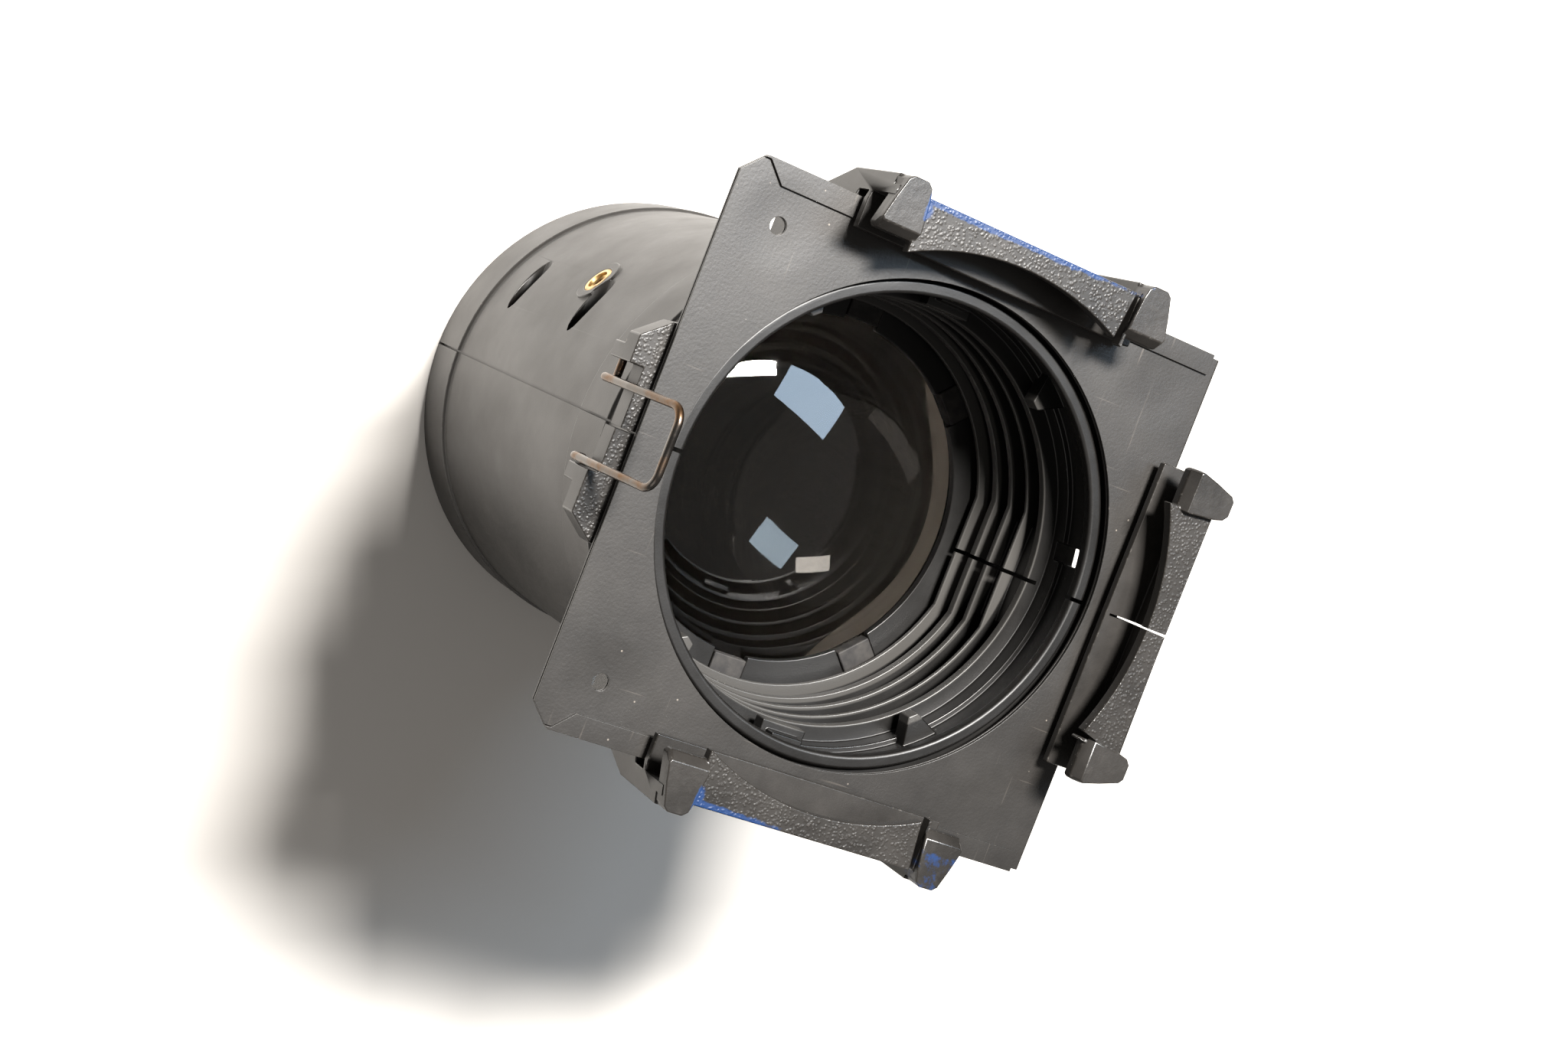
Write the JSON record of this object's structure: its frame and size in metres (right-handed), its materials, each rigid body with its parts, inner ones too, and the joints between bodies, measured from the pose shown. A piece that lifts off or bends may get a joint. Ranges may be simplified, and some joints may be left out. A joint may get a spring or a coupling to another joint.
{
  "type": "spotlight lens tube with accessory holder",
  "caption": "Die-cast lens tube of a stage spotlight with a front accessory holder, a square colour frame in its slot and a wire retaining clip.",
  "frame": {"origin": "centre of the tube's rear rim", "axes": "+Z along the light's axis towards the stage, +Y to the side with the clip, up when the light hangs level; +X to the right seen from the front"},
  "size_m": [0.1752, 0.1766, 0.2331],
  "materials": {
    "cast_black": "die-cast aluminium under satin black paint, rough cast grain on the front faces",
    "lens_glass": "clear polished glass",
    "silicone": "matt black silicone",
    "screw_steel": "zinc-plated steel",
    "insert_brass": "plain turned brass",
    "frame_black": "thin sheet steel, satin black, lightly scuffed",
    "clip_wire": "dark nickel-plated spring wire"
  },
  "bodies": {
    "tube": {"tube_half_left": "cast_black", "tube_half_right": "cast_black", "lens": "lens_glass", "lens_pad_1": "silicone", "lens_pad_2": "silicone", "lens_pad_3": "silicone", "lens_pad_4": "silicone", "lens_pad_5": "silicone", "lens_pad_6": "silicone", "seam_screws_top": "screw_steel", "seam_screws_bottom": "screw_steel", "focus_insert": "insert_brass"},
    "frame": {"gel_frame": "frame_black"},
    "clip": {"retaining_clip": "clip_wire"}
  },
  "joints": [
    {"name": "clip_pivot", "type": "hinge", "parent": "tube", "child": "clip", "pos_m": [0, 0.083, 0.189], "axis": [-1, 0, 0], "range_deg": [0, 105]},
    {"name": "frame_slide", "type": "slide", "parent": "tube", "child": "frame", "axis": [0, 1, 0], "range_m": [-0.0015, 0.0045]}
  ]
}
